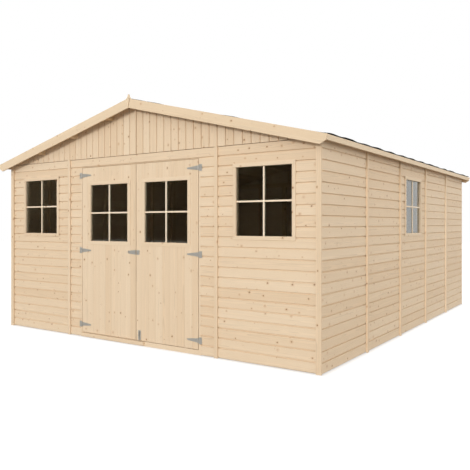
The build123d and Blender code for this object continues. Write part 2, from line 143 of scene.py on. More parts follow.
# White to the camera and behind the shed, and a dim room in front of it in the panes
behind = node(tree, "ShaderNodeMapRange", {
    "Value": heading[1], "From Min": backdrop_turn[0], "From Max": backdrop_turn[1]},
    interpolation_type="SMOOTHSTEP")
to_camera = node(tree, "ShaderNodeLightPath").outputs["Is Camera Ray"]
backdrop = node(tree, "ShaderNodeMix", {
    0: math_of(tree, "MAXIMUM", behind.outputs[0], to_camera), 6: room_dim, 7: (1, 1, 1, 1)},
    data_type="RGBA").outputs[2]
white = node(tree, "ShaderNodeBackground", {"Color": backdrop, "Strength": 1})
shown = node(tree, "ShaderNodeMixShader", {
    0: seen_directly(tree), 1: light.outputs[0], 2: white.outputs[0]})
node(tree, "ShaderNodeOutputWorld", {"Surface": shown.outputs[0]})
scene.world = world

key = bpy.data.lights.new("key", "SUN")
key.energy = key_strength
key.angle = math.radians(key_softness)
key_lamp = bpy.data.objects.new("key", key)
key_lamp.rotation_euler = [math.radians(angle) for angle in key_turn]
scene.collection.objects.link(key_lamp)


def new_material(name):
    """An empty material with nodes."""
    made = bpy.data.materials.new(name)
    made.use_nodes = True
    made.node_tree.nodes.clear()
    return made


def new_object(name, mesh, material=None):
    """A finished piece at the origin."""
    made = bpy.data.objects.new(name, mesh)
    scene.collection.objects.link(made)
    if material:
        mesh.materials.clear()
        mesh.materials.append(material)
    return made


floor_finish = new_material("floor")
tree = floor_finish.node_tree
where = node(tree, "ShaderNodeSeparateXYZ", {
    0: node(tree, "ShaderNodeTexCoord").outputs["Object"]}).outputs
# The glow fades out over the last few centimetres towards the shed's footprint, so the floor at
# the foot of the walls is darker: painted shade on top of the real contact shadow there.
away = math_of(tree, "MAXIMUM",
               math_of(tree, "SUBTRACT", math_of(tree, "ABSOLUTE", where[0]), floor_edge[0]),
               math_of(tree, "SUBTRACT", math_of(tree, "ABSOLUTE", where[1]), floor_edge[1]))
outside = node(tree, "ShaderNodeMapRange", {
    "Value": away, "From Min": 0.0, "From Max": floor_fade}).outputs[0]
shade = node(tree, "ShaderNodeMapRange", {
    "Value": outside, "To Min": floor_inside, "To Max": floor_shade}).outputs[0]
shade = node(tree, "ShaderNodeCombineColor", {0: shade, 1: shade, 2: shade}).outputs[0]
matt = node(tree, "ShaderNodeBsdfDiffuse", {"Color": shade})
glow = node(tree, "ShaderNodeEmission", {
    "Color": (1, 1, 1, 1), "Strength": math_of(tree, "MULTIPLY", outside, floor_glow)})
both = node(tree, "ShaderNodeAddShader", {0: matt.outputs[0], 1: glow.outputs[0]})
pick = node(tree, "ShaderNodeMixShader", {
    0: seen_directly(tree), 1: matt.outputs[0], 2: both.outputs[0]})
node(tree, "ShaderNodeOutputMaterial", {"Surface": pick.outputs[0]})
floor_mesh = bpy.data.meshes.new("floor")
half = floor_size / 2
floor_mesh.from_pydata([(x, y, -floor_drop) for x, y in (
    (-half, -half), (half, -half), (half, half), (-half, half))], [], [(0, 1, 2, 3)])
floor = new_object("floor", floor_mesh, floor_finish)
floor.visible_glossy = False


# Wall panels: tongue and groove spruce boards laid level, 90 mm each, nailed to studs. The
# wood is raw and planed, with growth lines along its length and small round knots.
board_pitch = 0.090
board_depth = 0.016
board_skin = 0.0001
board_gap = 0.0046
hollow_height = 0.0105
hollow_depth = 0.0105
board_arris = 0.0008
tongue = 0.008
tongue_depths = (0.0115, 0.0140)
tongue_play = 0.0002
wall_rows = 21
half_width = 2.017
half_length = 2.415
board_over = 0.01
spruce_pale = paint(236, 215, 187)
spruce_warm = paint(227, 201, 169)
knot_halo = paint(206, 160, 110)
knot_core = paint(128, 84, 50)
ring_spacing = 0.0034
knot_cells = (9.2, 1, 11.0)
knot_radii = (0.028, 0.08)
heart_depth = 0.022
heart_spread = (0.05, 0.09)
ring_wander = 0.022


def spruce_group():
    """Wood with its grain along X, thickness along Y and width along Z of Place, which is
    measured from the middle of the timber."""
    tree = bpy.data.node_groups.new("spruce", "ShaderNodeTree")
    new_sockets(tree, "INPUT", Place="Vector", Timber="Float", Pale="Color", Warm="Color",
                Knots="Float")
    new_sockets(tree, "OUTPUT", Color="Color", Roughness="Float", Height="Float")
    given = node(tree, "NodeGroupInput").outputs
    chance = node(tree, "ShaderNodeTexWhiteNoise", {"W": given["Timber"]}, noise_dimensions="1D")
    luck = node(tree, "ShaderNodeSeparateColor", {0: chance.outputs["Color"]}).outputs
    shift = node(tree, "ShaderNodeVectorMath", {0: chance.outputs["Color"], 1: (19, 3, 7)},
                 operation="MULTIPLY").outputs[0]
    moved = node(tree, "ShaderNodeVectorMath", {0: given["Place"], 1: shift}).outputs[0]

    def stretched(x, y, z):
        return node(tree, "ShaderNodeVectorMath", {0: moved, 1: (x, y, z)},
                    operation="MULTIPLY").outputs[0]

    def noise(scale, detail=2.0):
        return node(tree, "ShaderNodeTexNoise", {
            "Vector": stretched(*scale), "Scale": 1, "Detail": detail, "Roughness": 0.55,
        }).outputs[0]

    def ramp(value, low, high, start=0, end=1):
        return node(tree, "ShaderNodeMapRange", {
            "Value": value, "From Min": low, "From Max": high, "To Min": start, "To Max": end,
        }, interpolation_type="SMOOTHSTEP").outputs[0]

    def mixed(share, first, second, kind="MIX"):
        return node(tree, "ShaderNodeMix", {0: share, 6: first, 7: second}, data_type="RGBA",
                    blend_type=kind).outputs[2]

    # Knots: a chance of one in each cell of about 10 cm, on the wide face
    flat = node(tree, "ShaderNodeSeparateXYZ", {0: stretched(*knot_cells)}).outputs
    spot = node(tree, "ShaderNodeCombineXYZ", {0: flat[0], 1: flat[2]}).outputs[0]
    cell = node(tree, "ShaderNodeTexVoronoi", {"Vector": spot, "Scale": 1},
                voronoi_dimensions="2D")
    draw = node(tree, "ShaderNodeSeparateColor", {0: cell.outputs["Color"]}).outputs
    there = math_of(tree, "LESS_THAN", draw[0], given["Knots"])
    radius = ramp(draw[1], 0, 1, *knot_radii)
    reach = math_of(tree, "DIVIDE", cell.outputs["Distance"], radius)
    halo = math_of(tree, "MULTIPLY", ramp(reach, 3.0, 0.8), there)
    core = math_of(tree, "MULTIPLY", ramp(reach, 1.15, 0.6), there)
    core = math_of(tree, "MULTIPLY", core, ramp(draw[2], 0, 1, 0.15, 0.95))

    # Growth rings round a heart behind the board, wavy along it and bent round the knots
    axes = node(tree, "ShaderNodeSeparateXYZ", {0: given["Place"]}).outputs
    behind = math_of(tree, "MULTIPLY_ADD", luck[0], heart_spread[0], heart_depth)
    aside = math_of(tree, "MULTIPLY_ADD", luck[1], heart_spread[1], -heart_spread[1] / 2)
    deep = math_of(tree, "ADD", axes[1], behind)
    wide = math_of(tree, "ADD", axes[2], aside)
    bend = noise((0.9, 6, 9), 3)
    ring = math_of(tree, "SQRT", math_of(tree, "ADD", math_of(tree, "MULTIPLY", deep, deep),
                                         math_of(tree, "MULTIPLY", wide, wide)))
    ring = math_of(tree, "MULTIPLY_ADD", bend, ring_wander, ring)
    ring = math_of(tree, "MULTIPLY_ADD", halo, 0.003, ring)
    ring = math_of(tree, "FRACT", math_of(tree, "DIVIDE", ring, ring_spacing))
    late = math_of(tree, "POWER", ring, 2.6)
    late = math_of(tree, "MULTIPLY", late, ramp(ring, 1.0, 0.93))
    fibre = noise((10, 260, 380), 2)
    streak = noise((0.9, 20, 30), 3)

    tone = math_of(tree, "MULTIPLY_ADD", streak, 0.8, -0.25)
    tone = math_of(tree, "MULTIPLY_ADD", chance.outputs["Value"], 0.7, tone)
    color = mixed(tone, given["Pale"], given["Warm"])
    shade = math_of(tree, "MULTIPLY_ADD", late, -0.16, 1.04)
    shade = math_of(tree, "MULTIPLY_ADD", fibre, 0.10, math_of(tree, "SUBTRACT", shade, 0.05))
    shade = node(tree, "ShaderNodeCombineColor", {0: shade, 1: shade, 2: shade}).outputs[0]
    color = mixed(1.0, color, shade, "MULTIPLY")
    color = mixed(math_of(tree, "MULTIPLY", halo, 0.4), color, knot_halo)
    color = mixed(core, color, knot_core)
    node(tree, "NodeGroupOutput", {
        "Color": color, "Roughness": math_of(tree, "MULTIPLY_ADD", fibre, 0.16, 0.5),
        "Height": math_of(tree, "MULTIPLY_ADD", late, -0.6, fibre)})
    return tree


spruce = spruce_group()


def timber_finish(name, pale=spruce_pale, warm=spruce_warm, knots=0.3):
    """Spruce that follows the place and the chance stored on each timber."""
    made = new_material(name)
    tree = made.node_tree
    place = node(tree, "ShaderNodeAttribute", attribute_name="grain_place").outputs["Vector"]
    lot = node(tree, "ShaderNodeAttribute", attribute_name="timber_lot").outputs["Fac"]
    wood = node(tree, "ShaderNodeGroup", node_tree=spruce)
    tree.links.new(place, wood.inputs["Place"])
    tree.links.new(lot, wood.inputs["Timber"])
    for socket, value in (("Pale", pale), ("Warm", warm), ("Knots", knots)):
        wood.inputs[socket].default_value = value
    bump = node(tree, "ShaderNodeBump", {
        "Height": wood.outputs["Height"], "Strength": 0.3, "Distance": 0.0005})
    skin = node(tree, "ShaderNodeBsdfPrincipled", {
        "Base Color": wood.outputs["Color"], "Roughness": wood.outputs["Roughness"],
        "Specular IOR Level": 0.25, "Normal": bump.outputs[0]})
    node(tree, "ShaderNodeOutputMaterial", {"Surface": skin.outputs[0]})
    return made


def tongued(pitch, outer_low, outer_top, gap):
    """Board's outline of (depth, width) points: its two outer edges as given, a groove along
    the one and a tongue along the other that fits the next board."""
    low, top, back = gap / 2, pitch - gap / 2, board_depth - board_skin
    near, far = tongue_depths
    groove = [(near - tongue_play, low), (near - tongue_play, low + tongue + tongue_play),
              (far + tongue_play, low + tongue + tongue_play), (far + tongue_play, low)]
    tenon = [(far, top), (far, top + tongue), (near, top + tongue), (near, top)]
    return outer_low + groove + [(back, low), (back, top)] + tenon + outer_top


def hollow_edge(pitch):
    """Board with a hollow along its bottom edge, which shows as a shadow line."""
    top, skin = pitch - board_gap / 2, board_skin
    hollow = []
    for angle in (0, 25, 50, 75):
        turn = math.radians(angle)
        hollow.append((skin + hollow_depth * math.sin(turn),
                       hollow_height - 0.6 * hollow_height * (1 - math.cos(turn))))
    hollow.append((skin + hollow_depth, board_gap / 2))
    return tongued(pitch, hollow, [(skin + board_arris, top), (skin, top - board_arris)],
                   board_gap)


def vee_edges(pitch, vee, gap=board_gap):
    """Board with both outer arrises taken off, so that two boards make a V."""
    low, top, skin = gap / 2, pitch - gap / 2, board_skin
    return tongued(pitch, [(skin, low + vee), (skin + vee, low)],
                   [(skin + vee, top), (skin, top - vee)], gap)


patterns = []


def section(name, points):
    """The outline that a board is drawn out from."""
    curve = bpy.data.curves.new(name, "CURVE")
    curve.dimensions = "2D"
    spline = curve.splines.new("POLY")
    spline.points.add(len(points) - 1)
    for point, (deep, wide) in zip(spline.points, points):
        point.co = (-deep, -wide, 0, 1)
    spline.use_cyclic_u = True
    made = bpy.data.objects.new(name, curve)
    scene.collection.objects.link(made)
    patterns.append(made)
    return made


def boarding_tree():
    """Boards drawn out from a section, laid side by side over a panel and cut to it. Row
    after row goes on from Start, in the direction that Turn gives."""
    tree = bpy.data.node_groups.new("boarding", "GeometryNodeTree")
    new_sockets(tree, "OUTPUT", Geometry="Geometry")
    new_sockets(tree, "INPUT", Section="Object", Panel="Object", Finish="Material", Boards="Int",
                Pitch="Float", Length="Float", Start="Vector", Turn="Vector", Seed="Int")
    given = node(tree, "NodeGroupInput").outputs
    end = node(tree, "ShaderNodeCombineXYZ", {0: given["Length"]})
    rail = node(tree, "GeometryNodeCurvePrimitiveLine", {"End": end.outputs[0]})
    section = node(tree, "GeometryNodeObjectInfo", {"Object": given["Section"]})
    board = node(tree, "GeometryNodeCurveToMesh", {
        "Curve": rail.outputs[0], "Profile Curve": section.outputs["Geometry"], "Fill Caps": True})
    step = node(tree, "ShaderNodeCombineXYZ", {2: given["Pitch"]})
    rows = node(tree, "GeometryNodeMeshLine", {
        "Count": given["Boards"], "Offset": step.outputs[0]})
    laid = node(tree, "GeometryNodeInstanceOnPoints", {
        "Points": rows.outputs[0], "Instance": board.outputs[0]})
    real = node(tree, "GeometryNodeRealizeInstances", {0: laid.outputs[0]})
    turn = node(tree, "FunctionNodeEulerToRotation", {0: given["Turn"]})
    stood = node(tree, "GeometryNodeTransform", {
        "Geometry": real.outputs[0], "Translation": given["Start"], "Rotation": turn.outputs[0]})
    panel = node(tree, "GeometryNodeObjectInfo", {"Object": given["Panel"]})
    whole = node(tree, "GeometryNodeMergeByDistance", {
        "Geometry": panel.outputs["Geometry"], "Distance": 0.00001})
    cut = node(tree, "GeometryNodeMeshBoolean", operation="INTERSECT", solver="MANIFOLD")
    tree.links.new(stood.outputs[0], cut.inputs[1])
    tree.links.new(whole.outputs[0], cut.inputs[1])
    # Each board's own number, and its surface measured from its middle line
    island = node(tree, "GeometryNodeInputMeshIsland")
    lot = node(tree, "FunctionNodeRandomValue", {"Seed": given["Seed"]}, data_type="FLOAT")
    tree.links.new(island.outputs[0], lot.inputs["ID"])
    marked = node(tree, "GeometryNodeStoreNamedAttribute", {
        "Geometry": cut.outputs[0], "Name": "timber_lot", "Value": lot.outputs[1]},
        data_type="FLOAT", domain="POINT")
    back = node(tree, "FunctionNodeInvertRotation", {0: turn.outputs[0]})
    from_start = node(tree, "ShaderNodeVectorMath", {
        0: node(tree, "GeometryNodeInputPosition").outputs[0], 1: given["Start"]},
        operation="SUBTRACT")
    local = node(tree, "FunctionNodeRotateVector", {0: from_start.outputs[0], 1: back.outputs[0]})
    axes = node(tree, "ShaderNodeSeparateXYZ", {0: local.outputs[0]}).outputs
    in_row = math_of(tree, "FLOORED_MODULO", axes[2], given["Pitch"])
    across = math_of(tree, "MULTIPLY_ADD", given["Pitch"], -0.5, in_row)
    place = node(tree, "ShaderNodeCombineXYZ", {0: axes[0], 1: axes[1], 2: across})
    placed = node(tree, "GeometryNodeStoreNamedAttribute", {
        "Geometry": marked.outputs[0], "Name": "grain_place", "Value": place.outputs[0]},
        data_type="FLOAT_VECTOR", domain="POINT")
    done = node(tree, "GeometryNodeSetMaterial", {
        "Geometry": placed.outputs[0], "Material": given["Finish"]})
    node(tree, "NodeGroupOutput", {0: done.outputs[0]})
    return tree


def grown(name, tree, points=(), **inputs):
    """The plain mesh that a Geometry Nodes tree makes, on a mesh of points where it has one."""
    seed_mesh = bpy.data.meshes.new(name)
    seed_mesh.from_pydata(points, [], [])
    start = bpy.data.objects.new(name, seed_mesh)
    scene.collection.objects.link(start)
    modifier = start.modifiers.new("make", "NODES")
    modifier.node_group = tree
    sockets = {item.name: item.identifier for item in tree.interface.items_tree
               if item.in_out == "INPUT"}
    for key_name, value in inputs.items():
        modifier[sockets[key_name]] = value
    bpy.context.view_layer.update()
    graph = bpy.context.evaluated_depsgraph_get()
    mesh = bpy.data.meshes.new_from_object(start.evaluated_get(graph), depsgraph=graph)
    bpy.data.objects.remove(start)
    return mesh


def mesh_of(name, whole):
    """The mesh that a bmesh has built up."""
    mesh = bpy.data.meshes.new(name)
    whole.to_mesh(mesh)
    whole.free()
    return mesh


def joined(name, meshes, material, body, slot, *cad_nodes):
    """Makes one piece from several meshes. It stands for CAD nodes and rides with a body."""
    whole = bmesh.new()
    for mesh in meshes:
        whole.from_mesh(mesh)
    for part in whole.faces:
        part.smooth = False
    piece = new_object(name, mesh_of(name, whole), material)
    if cad_nodes:
        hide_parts(*cad_nodes)
    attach(piece, body)


boarding = boarding_tree()
wall_section = section("wall_board_section", hollow_edge(board_pitch))
wall_finish = timber_finish("wall_boards", knots=0.42)
wall_turns = {"front": 0, "back": 180, "right": 90, "left": -90}
level_starts = {
    "front": (-half_width - board_over, -half_length, 0),
    "back": (half_width + board_over, half_length, 0),
    "right": (half_width, -half_length - board_over, 0),
    "left": (-half_width, half_length + board_over, 0),
}


def level_boards(cad_node, wall, seed):
    """A panel's level boards, laid from the left as seen from outside."""
    half = half_width if wall in ("front", "back") else half_length
    return grown(cad_node, boarding, Section=wall_section, Panel=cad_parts[cad_node],
                 Finish=wall_finish, Boards=wall_rows, Pitch=board_pitch,
                 Length=2 * (half + board_over), Start=level_starts[wall],
                 Turn=(0, 0, math.radians(wall_turns[wall])), Seed=seed)


front_nodes = ("front_right_panel", "front_left_panel", "door_strips", "door_header")
joined("front_boards", [level_boards(n, "front", i + 5) for i, n in enumerate(front_nodes)],
       wall_finish, "root", "wall_boards", *front_nodes)
for wall, seed in (("right", 11), ("left", 12), ("back", 13)):
    cad_node = wall + "_wall_boards"
    joined(wall + "_boarding", [level_boards(cad_node, wall, seed)], wall_finish, "root",
           "wall_boards", cad_node)


# Gables: upright boards in two halves that meet under the ridge, notched round the
# purlins, nailed to a rail and posts.
gable_vee = 0.0045
gable_boards_across = 46
upright_length = 2.0
gable_base = 1.893
gable_seam = 0.0042
gable_section = section("gable_board_section", vee_edges(board_pitch, gable_vee))
stood_up = Matrix.Rotation(math.radians(-90), 4, "Y")
half_turn = Matrix.Rotation(math.radians(180), 4, "Z")


def upright_boards(cad_node, outline, pitch, count, start, seed, finish, back_wall=False):
    """Boards that stand on end, laid from the right as seen from outside."""
    turn = half_turn @ stood_up if back_wall else stood_up
    return grown(cad_node, boarding, Section=outline, Panel=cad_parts[cad_node],
                 Finish=finish, Boards=count, Pitch=pitch, Length=upright_length,
                 Start=start, Turn=turn.to_euler(), Seed=seed)


gable_reach = gable_boards_across * board_pitch / 2
for wall, side, seed in (("front", 1, 21), ("back", -1, 22)):
    cad_node = wall + "_gable_boards"
    mesh = upright_boards(cad_node, gable_section, board_pitch, gable_boards_across,
                          (side * gable_reach, -side * half_length, gable_base - board_over),
                          seed, wall_finish, back_wall=side < 0)
    for vert in mesh.vertices:
        if abs(vert.co.x) < gable_seam:
            vert.co.x = math.copysign(gable_seam, vert.co.x)
    joined(wall + "_gable_boarding", [mesh], wall_finish, "root", "wall_boards", cad_node)


# Timbers: studs, rails, plates, purlins and posts of square spruce with eased arrises,
# screwed together behind the boards, and the battens nailed over the panels' joints.
arris = 0.0012


def shells(mesh):
    """The closed solids of a CAD node's triangles, each as its corners and its faces."""
    open_edges, corners, faces = set(), {}, []
    for triangle in mesh.polygons:
        face = []
        for index in triangle.vertices:
            point = tuple(round(value, 5) for value in mesh.vertices[index].co)
            face.append(corners.setdefault(point, len(corners)))
        faces.append(face)
        for edge in zip(face, face[1:] + face[:1]):
            open_edges.symmetric_difference_update({edge} if edge[::-1] not in open_edges
                                                   else {edge[::-1]})
        if not open_edges:
            yield list(corners), faces
            corners, faces = {}, []


def grain_axes(work, edges):
    """A timber's length along its longest edge, its thickness and its width."""
    longest = max(edges, key=lambda edge: edge.calc_length())
    along = (longest.verts[1].co - longest.verts[0].co).normalized()
    square = [axis for axis in (Vector((1, 0, 0)), Vector((0, 1, 0)), Vector((0, 0, 1)))
              if abs(axis.dot(along)) < 0.001]

    def reach(axis):
        sides = [vert.co.dot(axis) for vert in work.verts]
        return max(sides) - min(sides)

    thick = min(square, key=reach)
    return along, thick, along.cross(thick)


def add_timber(pile, points, faces, chance, ease=arris):
    """Adds one timber to the pile, with eased arrises and its grain marked."""
    work = bmesh.new()
    verts = [work.verts.new(point) for point in points]
    for face in faces:
        work.faces.new([verts[index] for index in face])
    bmesh.ops.dissolve_limit(work, angle_limit=math.radians(1), verts=work.verts,
                             edges=work.edges)
    sharp = [edge for edge in work.edges
             if edge.is_manifold and edge.calc_face_angle() > math.radians(20)]
    axes = grain_axes(work, sharp)
    bmesh.ops.bevel(work, geom=sharp, offset=ease, segments=2, profile=0.5, affect="EDGES",
                    clamp_overlap=True)
    middle = sum((vert.co for vert in work.verts), Vector()) / len(work.verts)
    place_layer = work.verts.layers.float_vector.new("grain_place")
    lot_layer = work.verts.layers.float.new("timber_lot")
    for vert in work.verts:
        off = vert.co - middle
        vert[place_layer] = (off.dot(axes[0]), off.dot(axes[1]), off.dot(axes[2]))
        vert[lot_layer] = chance
    pile.append(mesh_of("timber", work))


def dressed(name, cad_node, finish, body="root", slot="trim_wood", seed=0, ease=arris):
    """Makes a CAD node's timbers with eased arrises, each marked with its own grain."""
    draw = random.Random(seed)
    pile = []
    for points, faces in shells(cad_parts[cad_node].data):
        add_timber(pile, points, faces, draw.random(), ease)
    joined(name, pile, finish, body, slot, cad_node)


trim_finish = timber_finish("trim_wood", knots=0.26)
frame_finish = timber_finish("frame_wood", paint(230, 204, 168), paint(216, 186, 146))
dressed("cover_battens", "joint_battens", trim_finish, seed=31)
dressed("corner_covers", "corner_strips", trim_finish, seed=32)
for name, cad_node, seed in (
    ("side_studs", "side_wall_frames", 33), ("end_studs", "end_wall_frames", 34),
    ("plates", "wall_plates", 35), ("gable_posts", "gable_frames", 36),
    ("ridge_timber", "ridge_purlin", 37), ("purlins", "side_purlins", 38),
    ("header_timber", "door_header_beam", 39),
):
    dressed(name, cad_node, frame_finish, slot="frame_wood", seed=seed)
dressed("sill_timber", "door_sill", trim_finish, slot="frame_wood", seed=40)
dressed("jamb_posts", "door_jambs", trim_finish, seed=41)
dressed("sill_board", "door_sill_strip", trim_finish, seed=44)


# Door leaves: upright boards with close joints that hardly show, on an inner frame with
# a brace.
door_vee = 0.0008
door_gap = 0.0004
door_boards_across = 9
door_finish = timber_finish("door_boards")
for side, seed in (("right", 51), ("left", 52)):
    cad_node = side + "_door_boards"
    low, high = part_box(cad_node)
    pitch = (high.x - low.x) / (door_boards_across - 0.4)
    outline = section(cad_node + "_section", vee_edges(pitch, door_vee, door_gap))
    mesh = upright_boards(cad_node, outline, pitch, door_boards_across,
                          (high.x + 0.2 * pitch, -half_length, low.z - board_over), seed,
                          door_finish)
    joined(side + "_leaf_boards", [mesh], door_finish, side + "_leaf", "door_boards", cad_node)
    dressed(side + "_leaf_frame", side + "_door_frame", frame_finish, side + "_leaf",
            "frame_wood", seed + 2)


# Windows: each has a face trim of four strips, four liner boards with a groove for the
# pane, and a cross of thin glazing bars outside and inside the glass.
liner_depth = 0.030
liner_thickness = 0.012
glass_face = 0.0133
glass_back = 0.0173
trim_arris = 0.0030
bar_width = 0.015
bar_front = 0.0053
bar_back = 0.0253
bar_arris = 0.0015
strip_arris = 0.0008
pane_play = 0.0003
wall_middles = {"front": (0, -half_length, 0), "back": (0, half_length, 0),
                "right": (half_width, 0, 0), "left": (-half_width, 0, 0)}
box_faces = ((0, 2, 6, 4), (1, 5, 7, 3), (0, 4, 5, 1), (2, 3, 7, 6), (0, 1, 3, 2), (4, 6, 7, 5))


def wall_frame(wall):
    """A wall's own frame at the middle of its face: X along it, Z up and -Y outwards."""
    turn = Matrix.Rotation(math.radians(wall_turns[wall]), 4, "Z")
    return Matrix.Translation(wall_middles[wall]) @ turn


def add_strip(pile, wall, low, high, chance, ease=strip_arris):
    """Adds a straight timber between two corners, given in a wall's own frame."""
    spans = list(zip(low, high))
    points = [wall_frame(wall) @ Vector((x, y, z))
              for x in spans[0] for y in spans[1] for z in spans[2]]
    add_timber(pile, points, box_faces, chance, ease)


def add_window(frame_pile, bar_pile, wall, middle, width, height, sill, trim, proud, draw):
    """Adds a window's trim, liner and glazing bars, in the frame of its wall."""
    x0, x1, z0, z1 = middle - width / 2, middle + width / 2, sill, sill + height
    # The liner's outer part, the strip behind the glass, and the trim over them
    for y0, y1 in ((0, glass_face - pane_play), (glass_back + pane_play, liner_depth)):
        for z, dz in ((z0 - liner_thickness, liner_thickness), (z1, liner_thickness)):
            add_strip(frame_pile, wall, (x0 - liner_thickness, y0, z),
                      (x1 + liner_thickness, y1, z + dz), draw.random())
        for x in (x0 - liner_thickness, x1):
            add_strip(frame_pile, wall, (x, y0, z0), (x + liner_thickness, y1, z1), draw.random())
    for z in (z0 - trim, z1):
        add_strip(frame_pile, wall, (x0 - trim, -proud, z), (x1 + trim, 0, z + trim),
                  draw.random(), trim_arris)
    for x in (x0 - trim, x1):
        add_strip(frame_pile, wall, (x, -proud, z0), (x + trim, 0, z1), draw.random(),
                  trim_arris)
    half = bar_width / 2
    middle_z = (z0 + z1) / 2
    for y0, y1 in ((bar_front, glass_face), (glass_back, bar_back)):
        add_strip(bar_pile, wall, (middle - half, y0, z0), (middle + half, y1, z1),
                  draw.random(), bar_arris)
        for a, b in ((x0, middle - half), (middle + half, x1)):
            add_strip(bar_pile, wall, (a, y0, middle_z - half), (b, y1, middle_z + half),
                      draw.random(), bar_arris)


bar_finish = timber_finish("glazing_bars", paint(248, 233, 211), paint(243, 223, 195), 0.1)
# Width, height, sill, trim's width, and how far the trim stands proud
wall_window = (0.552, 0.597, 1.096, 0.035, 0.008)
leaf_window = (0.5365, 0.586, 1.022, 0.038, 0.004)
panel_middle = 1.4735
leaf_middle = 0.38475
windows = {
    "wall": ("root", "wall_window_frames", (
        ("front", panel_middle, *wall_window), ("front", -panel_middle, *wall_window),
        ("right", 0, *wall_window))),
    "right_door": ("right_leaf", "right_door_window_frame", (
        ("front", leaf_middle, *leaf_window),)),
    "left_door": ("left_leaf", "left_door_window_frame", (
        ("front", -leaf_middle, *leaf_window),)),
}
for name, (body, cad_node, places) in windows.items():
    draw = random.Random(60 + len(name))
    frame_pile, bar_pile = [], []
    for place in places:
        add_window(frame_pile, bar_pile, *place, draw)
    joined(name + "_window_trim", frame_pile, trim_finish, body, "trim_wood", cad_node)
    joined(name + "_glazing_bars", bar_pile, bar_finish, body, "trim_wood")


# Roof deck: boards from the ridge down to the eave, nailed to the purlins, with a V
# between them on the underside.
deck_pitch = 0.090
deck_vee = 0.002
deck_boards_along = 57
deck_end = 2.509
deck_length = 2.4
deck_over = 0.05
roof_pitch = math.radians(14.1)
plate_top = 1.903
ridge_underside = plate_top + half_width * math.tan(roof_pitch)
deck_section = section("deck_board_section", vee_edges(deck_pitch, deck_vee))
for side, sign, seed in (("right", 1, 71), ("left", -1, 72)):
    down = Vector((sign * math.cos(roof_pitch), 0, -math.sin(roof_pitch)))
    rise = Vector((sign * math.sin(roof_pitch), 0, math.cos(roof_pitch)))
    rows = down.cross(rise)
    turn = Matrix((down, rise, rows)).transposed()
    start = Vector((0, sign * (deck_end + board_over), ridge_underside)) - deck_over * down
    cad_node = side + "_roof_deck"
    mesh = grown(cad_node, boarding, Section=deck_section, Panel=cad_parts[cad_node],
                 Finish=frame_finish, Boards=deck_boards_along, Pitch=deck_pitch,
                 Length=deck_length, Start=start, Turn=turn.to_euler(), Seed=seed)
    joined(side + "_deck_boards", [mesh], frame_finish, "root", "frame_wood", cad_node)


# Roof edges: planed bargeboards and eave boards, nailed over the ends of the deck and its
# purlins, with a small pointed block where each pair of bargeboards meets.
edge_arris = 0.002
seam_gap = 0.008
seam_reach = 0.03
nail_room = 0.0006
edge_finish = timber_finish("edge_boards", paint(237, 216, 187), paint(228, 203, 170), 0.32)
for name, cad_node, seed in (
    ("eave_boards", "eave_fascias", 81), ("finial_blocks", "finials", 84),
):
    dressed(name, cad_node, edge_finish, seed=seed, ease=edge_arris)
# The left boards stop short of the ridge, and all stand back by the nails' heads
for side, gap, chance in (("right", 0, 0.6), ("left", seam_gap, 0.4)):
    pile = []
    for points, faces in shells(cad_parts[side + "_bargeboards"].data):
        points = [(x - gap if abs(x) < seam_reach else x, y - math.copysign(nail_room, y), z)
                  for x, y, z in points]
        add_timber(pile, points, faces, chance, edge_arris)
    joined(side + "_gable_edge", pile, edge_finish, "root", "trim_wood", side + "_bargeboards")


# Roofing felt: bitumen felt with mineral grit, unrolled along the eaves in three courses
# that lap downhill, with a strip folded over the ridge. It is nailed along the laps, and
# its eave edge stands a little off the board in waves.
felt_thick = 0.0026
felt_seat = 0.0163
felt_end = 2.5
felt_drip = 2.103
felt_step = 0.055
eave_lift = 0.011
eave_wave = 0.35
course_joints = (0.33, 1.25)
course_lap = 0.08
ridge_strip = 0.125
press_start = 2.42
felt_press = 0.038
lap_lift = 0.0015
ridge_lift = 0.0012
felt_clear = 0.0004
felt_ripple = 0.0006
eave_swing = (0.3, 0.9, 3.1)
eave_least = 0.3
eave_usual = 0.7
felt_finish = new_material("roofing_felt")
tree = felt_finish.node_tree
where = node(tree, "ShaderNodeTexCoord").outputs["Object"]
grit = node(tree, "ShaderNodeTexVoronoi", {"Vector": where, "Scale": 620.0})
grain = node(tree, "ShaderNodeSeparateColor", {0: grit.outputs["Color"]}).outputs[0]
along = node(tree, "ShaderNodeMapping", {"Vector": where, "Scale": (3.0, 0.6, 3.0)})
weather = node(tree, "ShaderNodeTexNoise", {
    "Vector": along.outputs[0], "Scale": 2.0, "Detail": 5, "Roughness": 0.6})
shade = math_of(tree, "MULTIPLY_ADD", weather.outputs[0], 0.5, -0.25)
shade = math_of(tree, "ADD", grain, shade)
tint = node(tree, "ShaderNodeValToRGB", {0: shade})
tint.color_ramp.elements[0].color = paint(25, 26, 27)
tint.color_ramp.elements[1].color = paint(86, 86, 87)
bump = node(tree, "ShaderNodeBump", {
    "Height": grit.outputs["Distance"], "Strength": 0.5, "Distance": 0.0012})
skin = node(tree, "ShaderNodeBsdfPrincipled", {
    "Base Color": tint.outputs[0], "Roughness": 0.92, "Specular IOR Level": 0.3,
    "Normal": bump.outputs[0]})
node(tree, "ShaderNodeOutputMaterial", {"Surface": skin.outputs[0]})


def skinned(whole, rings):
    """Adds the faces between rings of corners, and one over each end."""
    for one, two in zip(rings, rings[1:]):
        for a in range(len(one)):
            b = (a + 1) % len(one)
            whole.faces.new((one[a], one[b], two[b], two[a]))
    whole.faces.new(rings[0][::-1])
    whole.faces.new(rings[-1])


